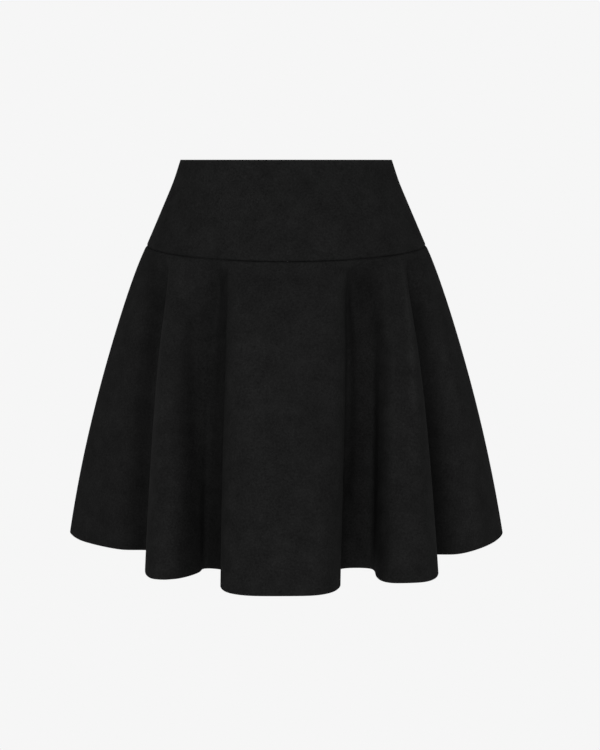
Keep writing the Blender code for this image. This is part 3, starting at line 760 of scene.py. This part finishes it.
def make_allowances(panel, band, material, overlock):
    """One panel's turned edges at its side seams and at the yoke seam, with their overlock paths."""
    strips = Strips(ALLOWANCE_DEPTHS)
    depth = ALLOWANCE_DEPTHS[1] + OVERLOCK_RISE
    start = YOKE_LENGTH + band.way * (ALLOWANCE + ALLOWANCE_START)
    end = turned_edge(band, OVERLOCK_INSET)
    runs = np.linspace(start, end, int(abs(end - start) / ALONG_STEP))[None, :]
    around = round_length(runs)
    offsets = np.linspace(ALLOWANCE_START, ALLOWANCE, ALLOWANCE_ROWS)[:, None]
    for seam, side, gap in ((panel.low, 1, panel.gaps[0]), (panel.high, -1, panel.gaps[1])):
        wide = np.maximum(offsets, gap(runs) + ALLOWANCE_START)
        strips.add(seam + side * wide / around, runs)
        edge = seam + side * (ALLOWANCE - OVERLOCK_INSET) / around
        overlock.add(edge[0], runs[0], depth)
    margin = ALLOWANCE_MARGIN / SEAM_RING.length
    count = int((panel.high - panel.low) * SEAM_RING.length / ALONG_STEP)
    shares = np.linspace(panel.low + margin, panel.high - margin, count)[None, :]
    strips.add(shares, YOKE_LENGTH + band.way * offsets)
    across = np.full(count, YOKE_LENGTH + band.way * (ALLOWANCE - OVERLOCK_INSET))
    overlock.add(shares[0], across, depth)
    return strips.make(f"{panel.node}_allowances", material, np.concatenate(strips.flat))


def follow_turn(line, panel, band, margin, beyond, rise):
    """Add a path along one panel's turned-in edge, short of its side seams by a margin."""
    length = band.ring.length
    count = int((panel.high - panel.low) * length / ALONG_STEP)
    width = panel.high - panel.low - 2 * margin / length
    fractions = band.ring.fractions(panel.low, panel.high, count, 0.0)
    shares = panel.low + margin / length + width * fractions
    line.add(shares, np.full(count, turned_edge(band, beyond)), band.depth + rise)


def make_looped_thread():
    """Node tree: loops of thread repeated along paths, each across its path and standing inwards."""
    inputs = {"Paths": "NodeSocketGeometry", "Pitch": 0.0025, "Width": 0.001, "Height": 0.0004,
              "Thread Radius": 0.0002, "Finish": "NodeSocketMaterial"}
    group, given, result = new_group("looped_thread", "GeometryNodeTree", inputs, ("Threads",),
                                     "NodeSocketGeometry")
    pitch, width, height = (given[name] for name in ("Pitch", "Width", "Height"))
    path = add_node(group, "GeometryNodeMeshToCurve", {"Mesh": given["Paths"]})
    spaced = add_node(group, "GeometryNodeResampleCurve", {"Curve": path, "Length": pitch}, mode="LENGTH")
    aside = times(group, width, -1.0)
    start, end = (add_node(group, "ShaderNodeCombineXYZ", {"X": times(group, pitch, half), "Y": aside})
                  for half in (-0.5, 0.5))
    top = add_node(group, "ShaderNodeCombineXYZ",
                   {"Y": times(group, width, LOOP_REACH), "Z": times(group, height, LOOP_RISE)})
    loop = add_node(group, "GeometryNodeCurveQuadraticBezier",
                    {"Resolution": LOOP_STEPS, "Start": start, "Middle": top, "End": end})
    profile = add_node(group, "GeometryNodeCurvePrimitiveCircle",
                       {"Resolution": THREAD_SIDES, "Radius": given["Thread Radius"]})
    thread = add_node(group, "GeometryNodeCurveToMesh",
                      {"Curve": loop, "Profile Curve": profile, "Fill Caps": True})
    inwards = add_node(group, "GeometryNodeInputNamedAttribute", {"Name": "inwards"},
                       data_type="FLOAT_VECTOR")
    tangent = add_node(group, "GeometryNodeInputTangent")
    along = add_node(group, "FunctionNodeAlignRotationToVector", {"Vector": tangent}, axis="X")
    upright = add_node(group, "FunctionNodeAlignRotationToVector",
                       {"Rotation": along, "Vector": inwards}, axis="Z", pivot_axis="X")
    placed = add_node(group, "GeometryNodeInstanceOnPoints",
                      {"Points": spaced, "Instance": thread, "Rotation": upright})
    real = add_node(group, "GeometryNodeRealizeInstances", {"Geometry": placed})
    finished = add_node(group, "GeometryNodeSetMaterial",
                        {"Geometry": real, "Material": given["Finish"]})
    feed(group, result, {"Threads": finished})
    return group


def sew(name, tree, line, thread, material):
    """Run a looped thread along its paths and keep it as a plain mesh on the skirt's body."""
    holder = line.holder(name + "_paths")
    modifier = holder.modifiers.new("looped_thread", "NODES")
    modifier.node_group = tree
    sockets = {item.name: item.identifier for item in tree.interface.items_tree if item.in_out == "INPUT"}
    values = {"Pitch": thread.pitch, "Width": thread.width, "Height": thread.height,
              "Thread Radius": thread.radius, "Finish": material}
    for label, value in values.items():
        modifier[sockets[label]] = value
    depsgraph = bpy.context.evaluated_depsgraph_get()
    mesh = bpy.data.meshes.new_from_object(holder.evaluated_get(depsgraph))
    mesh.name = name
    mesh.shade_smooth()
    bpy.data.objects.remove(holder)
    piece = link_object(name, mesh)
    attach(piece, "skirt")
    return piece


def make_seam_thread(material):
    """The stitching along the side seams, the yoke seam and the centre back below the zip."""
    strips = Strips(SEAM_THREAD_DEPTHS)
    offsets = np.array([-SEAM_THREAD_HALF, SEAM_THREAD_HALF])[:, None]
    on_yoke = (SEAM_THREAD_END, YOKE_LENGTH - SEAM_CLEAR)
    on_skirt = (YOKE_LENGTH + SEAM_CLEAR, GARMENT_LENGTH - SEAM_THREAD_END)
    below_zip = (COIL_END, GARMENT_LENGTH - SEAM_THREAD_END)
    for seam, start, end in ((SIDE_SHARE, *on_yoke), (SIDE_SHARE, *on_skirt), (BACK_SHARE, *below_zip),
                             (1 - SIDE_SHARE, *on_yoke), (1 - SIDE_SHARE, *on_skirt)):
        runs = np.linspace(start, end, int((end - start) / SEAM_THREAD_STEP))[None, :]
        strips.add(seam + offsets / round_length(runs), runs)
    margin = SEAM_THREAD_MARGIN / SEAM_RING.length
    shares = np.linspace(margin - 0.5, 0.5 - margin, int(SEAM_RING.length / SEAM_THREAD_STEP))[None, :]
    strips.add(shares, YOKE_LENGTH + offsets)
    strips.make("seam_stitching", material)


def make_zip_coil(tree, material):
    """The zip's coil of teeth on the inside of its tapes, one row on each side, closed."""
    line = ThreadLine()
    for side, shift in ((-1, 0.0), (1, COIL.pitch / 2)):
        runs = np.arange(COIL_TOP + shift, COIL_END, ALONG_STEP / 2)
        for part in (runs[runs < YOKE_LENGTH], runs[runs >= YOKE_LENGTH]):
            line.add(BACK_SHARE + side * COIL_ASIDE / round_length(part), part, COIL_DEPTH)
    return sew("zip_coil", tree, line, COIL, material)


def inside_parts(panel, band, finishes, tree):
    """What is sewn on the inside of one panel."""
    thread, line = finishes["thread"], ThreadLine()
    parts = [make_allowances(panel, band, finishes["cloth"], line)]
    follow_turn(line, panel, band, OVERLOCK_MARGIN, -OVERLOCK_INSET, OVERLOCK_RISE)
    parts.append(sew(f"{panel.node}_overlock", tree, line, OVERLOCK, thread))
    if band is SKIRT:
        line = ThreadLine()
        follow_turn(line, panel, band, STITCH_MARGIN, STITCH_INSET, -STITCH_INSET)
        parts.append(sew(f"{panel.node}_hem_stitches", tree, line, BLIND_STITCH, thread))
    return parts


def hang_panels(band, finishes, tree):
    """Hang a band's panels on the skirt's body, each in place of its plain solid."""
    for panel in band.panels:
        piece = make_panel(panel, band, finishes["cloth"])
        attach(piece, "skirt")
        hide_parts(panel.node)
        parts = inside_parts(panel, band, finishes, tree)


# Materials

CLOTH_BLACK = (0.0101, 0.0102, 0.01015)
RUBBED_CLOTH = (0.020, 0.020, 0.020, 1.0)
TAPE_BLACK = (0.0085, 0.0085, 0.0087)
THREAD_BLACK = (0.011, 0.011, 0.0112)
NYLON_BLACK = (0.007, 0.007, 0.0072)
ENAMEL_BLACK = (0.012, 0.012, 0.0122, 1.0)
RUBBED_METAL = (0.06, 0.06, 0.062, 1.0)
KNIT_PITCH = 0.0009
YARN_PITCH = 0.0007


def feed(tree, node, inputs):
    """Give a node its inputs: each is a value, another node's output, or a node for its first."""
    for name, value in inputs.items():
        if isinstance(value, bpy.types.Node):
            value = value.outputs[0]
        if isinstance(value, bpy.types.NodeSocket):
            tree.links.new(value, node.inputs[name])
        else:
            node.inputs[name].default_value = value


def add_node(tree, kind, inputs=None, **settings):
    """Add a node with its own settings and its inputs."""
    node = tree.nodes.new(kind)
    for name, value in settings.items():
        setattr(node, name, value)
    feed(tree, node, inputs or {})
    return node


def new_group(name, tree_kind, inputs, outputs, output_kind="NodeSocketFloat"):
    """A node group, its given inputs and its result; an input is a number or names its kind."""
    group = bpy.data.node_groups.new(name, tree_kind)
    for label, given in inputs.items():
        kind = given if isinstance(given, str) else "NodeSocketFloat"
        socket = group.interface.new_socket(label, in_out="INPUT", socket_type=kind)
        if given != kind:
            socket.default_value = given
    for label in outputs:
        group.interface.new_socket(label, in_out="OUTPUT", socket_type=output_kind)
    return group, group.nodes.new("NodeGroupInput").outputs, group.nodes.new("NodeGroupOutput")


def math_node(tree, operation, first, second=0.0, clamp=False):
    """One step of arithmetic on values or outputs."""
    return add_node(tree, "ShaderNodeMath", {0: first, 1: second}, operation=operation, use_clamp=clamp)


def times(tree, first, second, clamp=False):
    """Two values multiplied."""
    return math_node(tree, "MULTIPLY", first, second, clamp)


def plus(tree, first, second):
    """Two values added."""
    return math_node(tree, "ADD", first, second)


def blend(tree, first, first_part, second, second_part):
    """Two values added, each by its own part."""
    return plus(tree, times(tree, first, first_part), times(tree, second, second_part))


def noise(tree, place, **inputs):
    """Noise at a place, from 0 to 1."""
    given = {name.capitalize(): value for name, value in inputs.items()}
    return add_node(tree, "ShaderNodeTexNoise", {"Vector": place, **given})


def ranged(tree, value, low=0.0, high=1.0, start=0.0, end=1.0, **settings):
    """A value's range from start to end, made to run from low to high."""
    inputs = {"Value": value, "From Min": start, "From Max": end, "To Min": low, "To Max": high}
    return add_node(tree, "ShaderNodeMapRange", inputs, **settings)


def make_felted_nap():
    """Short brushed fibres: a fine grain, a broad cloudiness, and the height of the nap."""
    inputs = {"Place": "NodeSocketVector", "Grain": 0.12, "Cloud": 0.10}
    group, given, result = new_group("felted_nap", "ShaderNodeTree", inputs, ("Shade", "Height"))
    place = given["Place"]
    fibres = noise(group, place, scale=900.0, detail=3.0, roughness=0.65, distortion=1.2)
    grain = noise(group, place, scale=520.0, detail=3.0, roughness=0.6, distortion=0.6)
    cloud = noise(group, place, scale=48.0, detail=4.0, roughness=0.55)
    shade = blend(group, math_node(group, "SUBTRACT", grain, 0.5), given["Grain"],
                  math_node(group, "SUBTRACT", cloud, 0.5), given["Cloud"])
    feed(group, result, {"Shade": plus(group, shade, 1.0), "Height": blend(group, fibres, 0.6, grain, 0.4)})
    return group


def make_fine_knit():
    """Knitted loops seen close: wales along the cloth and courses across it."""
    inputs = {"Place": "NodeSocketVector", "Pitch": KNIT_PITCH}
    group, given, result = new_group("fine_knit", "ShaderNodeTree", inputs, ("Height",))
    apart = add_node(group, "ShaderNodeSeparateXYZ", {0: given["Place"]})
    turn = math_node(group, "DIVIDE", 2 * math.pi, given["Pitch"])
    across, along = (times(group, apart.outputs[axis], turn) for axis in ("X", "Y"))
    wale = math_node(group, "ABSOLUTE", math_node(group, "SINE", times(group, across, 0.5)))
    lean = times(group, wale, 1.4)
    course = math_node(group, "SINE", plus(group, along, lean))
    feed(group, result, {"Height": blend(group, wale, 0.6, course, 0.2)})
    return group


def make_rubbed_edge():
    """Where an edge is rubbed: a broken mask along it."""
    inputs = {"Place": "NodeSocketVector", "Edge": 0.0, "Amount": 0.5}
    group, given, result = new_group("rubbed_edge", "ShaderNodeTree", inputs, ("Mask",))
    patches = noise(group, given["Place"], scale=160.0, detail=4.0, roughness=0.6)
    broken = times(group, patches, given["Edge"])
    feed(group, result, {"Mask": times(group, broken, given["Amount"], clamp=True)})
    return group


def make_woven_tape():
    """Twill: raised yarns in steps across the tape, by place across and along it."""
    inputs = {"Across": 0.0, "Along": 0.0, "Yarn": YARN_PITCH}
    group, given, result = new_group("woven_tape", "ShaderNodeTree", inputs, ("Height", "Shade"))
    turn = math_node(group, "DIVIDE", 2 * math.pi, given["Yarn"])
    across, along = (times(group, given[name], turn) for name in ("Across", "Along"))
    rib = math_node(group, "SINE", plus(group, along, across))
    yarn = math_node(group, "ABSOLUTE", math_node(group, "SINE", across))
    height = blend(group, rib, 0.5, yarn, 0.5)
    feed(group, result, {"Height": height, "Shade": ranged(group, height, low=0.7, high=1.2, start=-0.5)})
    return group


def new_material(name):
    """An empty node material with its Principled shader."""
    material = bpy.data.materials.new(name)
    material.use_nodes = True
    return material, material.node_tree, material.node_tree.nodes["Principled BSDF"]


def object_place(tree):
    """The place on an object, in metres."""
    return add_node(tree, "ShaderNodeTexCoord").outputs["Object"]


def use_group(tree, group, inputs):
    """Place a node group in a material."""
    return add_node(tree, "ShaderNodeGroup", inputs, node_tree=group)


def scaled_colour(tree, colour, factor):
    """A colour made lighter or darker by a factor."""
    return add_node(tree, "ShaderNodeVectorMath", {0: colour, "Scale": factor}, operation="SCALE")


def masked_colour(tree, mask, colour, rubbed):
    """A colour that gives way to another where the mask is strong."""
    return add_node(tree, "ShaderNodeMix", {0: mask, 6: colour, 7: rubbed}, data_type="RGBA").outputs[2]


def bump(tree, height, strength, distance):
    """A normal that a height tilts."""
    return add_node(tree, "ShaderNodeBump", {"Strength": strength, "Distance": distance, "Height": height})


def make_cloth_material(groups):
    """Black felted cloth: nap over a fine knit, painted shade and highlight along the folds, painted shadow
    with crushed nap in the seams, and rubbed folded edges.
    """
    material, tree, shader = new_material("black_felted_cloth")
    place = object_place(tree)
    flat_cut = add_node(tree, "ShaderNodeUVMap", uv_map="flat_cut")
    edge, seam, painted_shade = (add_node(tree, "ShaderNodeAttribute", attribute_name=name).outputs["Fac"]
                        for name in ("folded_edge", "seam", "painted_fold_shade"))
    nap = use_group(tree, groups["nap"], {"Place": place, "Grain": 1.9, "Cloud": 0.9})
    knit = use_group(tree, groups["knit"], {"Place": flat_cut, "Pitch": KNIT_PITCH})
    rubbed = use_group(tree, groups["rubbed"], {"Place": place, "Edge": edge, "Amount": 0.24})
    # Painted shadow in the seams, with their crushed nap: the colour darkens to a quarter at a seam
    crushed_and_shaded = ranged(tree, seam, low=1.0, high=0.25)
    # Painted shade and painted highlight along the folds, over the nap's own shade
    nap_with_painted_shade = times(tree, nap.outputs["Shade"], plus(tree, painted_shade, 1.0))
    colour = scaled_colour(tree, CLOTH_BLACK, times(tree, nap_with_painted_shade, crushed_and_shaded))
    height = blend(tree, nap.outputs["Height"], 0.75, knit, 0.25)
    feed(tree, shader, {"Base Color": masked_colour(tree, rubbed, colour, RUBBED_CLOTH),
                        "Normal": bump(tree, height, strength=0.55, distance=0.0004),
                        "Roughness": ranged(tree, nap.outputs["Shade"], low=0.82, high=0.98),
                        "Specular IOR Level": 0.05})
    return material


def make_tape_material(groups):
    """Black woven zip tape."""
    material, tree, shader = new_material("black_woven_tape")
    place = object_place(tree)
    apart = add_node(tree, "ShaderNodeSeparateXYZ", {0: place})
    weave = use_group(tree, groups["tape"],
                      {"Across": apart.outputs["X"], "Along": apart.outputs["Z"], "Yarn": YARN_PITCH})
    nap = use_group(tree, groups["nap"], {"Place": place, "Grain": 0.4, "Cloud": 0.3})
    shade = times(tree, weave.outputs["Shade"], nap.outputs["Shade"])
    feed(tree, shader, {"Base Color": scaled_colour(tree, TAPE_BLACK, shade),
                        "Normal": bump(tree, weave.outputs["Height"], strength=0.7, distance=0.0002),
                        "Roughness": 0.72, "Specular IOR Level": 0.25})
    return material


def make_thread_material(groups):
    """Black sewing thread, softly twisted."""
    material, tree, shader = new_material("black_sewing_thread")
    nap = use_group(tree, groups["nap"], {"Place": object_place(tree), "Grain": 0.8, "Cloud": 0.4})
    feed(tree, shader, {"Base Color": scaled_colour(tree, THREAD_BLACK, nap.outputs["Shade"]),
                        "Normal": bump(tree, nap.outputs["Height"], strength=0.4, distance=0.0001),
                        "Roughness": 0.55, "Specular IOR Level": 0.3})
    return material


def make_coil_material(groups):
    """Black nylon of the zip's coil, a little glossy."""
    material, tree, shader = new_material("black_nylon_coil")
    nap = use_group(tree, groups["nap"], {"Place": object_place(tree), "Grain": 0.3, "Cloud": 0.3})
    feed(tree, shader, {"Base Color": scaled_colour(tree, NYLON_BLACK, nap.outputs["Shade"]),
                        "Roughness": ranged(tree, nap.outputs["Shade"], low=0.28, high=0.44)})
    return material


def make_enamel_material(groups):
    """Satin black enamel on the zip's metal, rubbed through in places."""
    material, tree, shader = new_material("black_enamelled_metal")
    place = object_place(tree)
    speckle = noise(tree, place, scale=1400.0, detail=3.0)
    high = ranged(tree, speckle, start=0.60, end=0.72)
    rubbed = use_group(tree, groups["rubbed"], {"Place": place, "Edge": high, "Amount": 0.9})
    feed(tree, shader, {"Base Color": masked_colour(tree, rubbed, ENAMEL_BLACK, RUBBED_METAL),
                        "Metallic": rubbed, "Roughness": ranged(tree, speckle, low=0.42, high=0.62),
                        "Normal": bump(tree, speckle, strength=0.2, distance=0.00005),
                        "Specular IOR Level": 0.14})
    return material


# The stage, the lights and the camera

WHITE = 0.9216
SIDE_GLOW = 0.52
BACK_GLOW = 0.25
FLOOR_LEVEL = -2.4
FLOOR_RADIUS = 16.0
FLOOR_SIDES = 96
CAMERA_PLACE = (0.0162, -1.8, 0.0)
CAMERA_TILT = math.radians(90 - 8.0746)
LENS = 72.912

# Square soft lights: three in front that reach into the folds, and one behind for the back
Light = namedtuple("Light", "name place size energy")
LIGHTS = (
    Light("front_light", (-0.05, -3.0, 0.15), 0.6, 24.0),
    Light("left_light", (-2.3, -2.0, 0.5), 1.2, 16.0),
    Light("right_light", (2.3, -2.0, 0.4), 1.2, 13.0),
    Light("back_light", (0.05, 3.0, 0.15), 0.6, 30.0),
)
LIT_PLACE = (0.0, 0.0, -0.25)


def make_floor():
    """A plain pale floor, which glows and takes no shadow."""
    material, tree, shader = new_material("pale_floor")
    seen = add_node(tree, "ShaderNodeLightPath").outputs["Is Camera Ray"]
    feed(tree, shader, {"Base Color": (0.0, 0.0, 0.0, 1.0), "Specular IOR Level": 0.0,
                        "Emission Color": (1.0, 1.0, 1.0, 1.0),
                        "Emission Strength": ranged(tree, seen, low=SIDE_GLOW, high=WHITE)})
    turns = np.linspace(0.0, 2 * math.pi, FLOOR_SIDES, endpoint=False)
    rim = [(FLOOR_RADIUS * math.cos(t), FLOOR_RADIUS * math.sin(t), FLOOR_LEVEL) for t in turns]
    floor = mesh_object("studio_floor", rim, [tuple(range(FLOOR_SIDES))], material)


def make_surroundings():
    """White surroundings, which light the cloth most from the front."""
    world = bpy.data.worlds.new("white_studio")
    world.use_nodes = True
    tree = world.node_tree
    place = add_node(tree, "ShaderNodeTexCoord").outputs["Generated"]
    way = add_node(tree, "ShaderNodeSeparateXYZ", {0: place})
    light = ranged(tree, way.outputs["Y"], low=SIDE_GLOW, high=BACK_GLOW, start=-0.1, end=0.7,
                   interpolation_type="SMOOTHSTEP")
    seen = add_node(tree, "ShaderNodeLightPath").outputs["Is Camera Ray"]
    feed(tree, tree.nodes["Background"],
         {"Color": (1.0, 1.0, 1.0, 1.0), "Strength": ranged(tree, seen, low=light, high=WHITE)})
    bpy.context.scene.world = world
    bpy.context.scene.view_settings.view_transform = "Standard"


def make_lights():
    """Every light, aimed at the middle of the skirt."""
    for name, place, size, energy in LIGHTS:
        light = bpy.data.lights.new(name, "AREA")
        light.shape = "SQUARE"
        light.size = size
        light.energy = energy
        lamp = link_object(name, light)
        lamp.location = place
        way = np.array(LIT_PLACE) - np.array(place)
        lamp.rotation_euler = Vector(way).to_track_quat("-Z", "Y").to_euler()
        lamp.visible_camera = False


def make_camera():
    """The photograph's view, from waist height and tilted down a little."""
    camera = bpy.data.cameras.new("portrait_camera")
    camera.lens = LENS
    view = link_object("portrait_camera", camera)
    view.location = CAMERA_PLACE
    view.rotation_euler = (CAMERA_TILT, 0.0, 0.0)
    bpy.context.scene.camera = view


def dress_skirt():
    """Make every piece and its finish, and give the zip's solids theirs."""
    groups = {"nap": make_felted_nap(), "knit": make_fine_knit(), "rubbed": make_rubbed_edge(),
              "tape": make_woven_tape()}
    finishes = {"cloth": make_cloth_material(groups), "thread": make_thread_material(groups)}
    tree = make_looped_thread()
    hang_panels(YOKE, finishes, tree)
    hang_panels(SKIRT, finishes, tree)
    make_seam_thread(finishes["thread"])
    make_zip_coil(tree, make_coil_material(groups))
    tape, enamel = make_tape_material(groups), make_enamel_material(groups)
    for name, material in (("zip_tape_right", tape), ("zip_tape_left", tape),
                           ("zip_slider", enamel), ("zip_pull_tab", enamel)):
        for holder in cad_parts[name].material_slots:
            holder.material = material


make_camera()
make_floor()
make_surroundings()
make_lights()
dress_skirt()
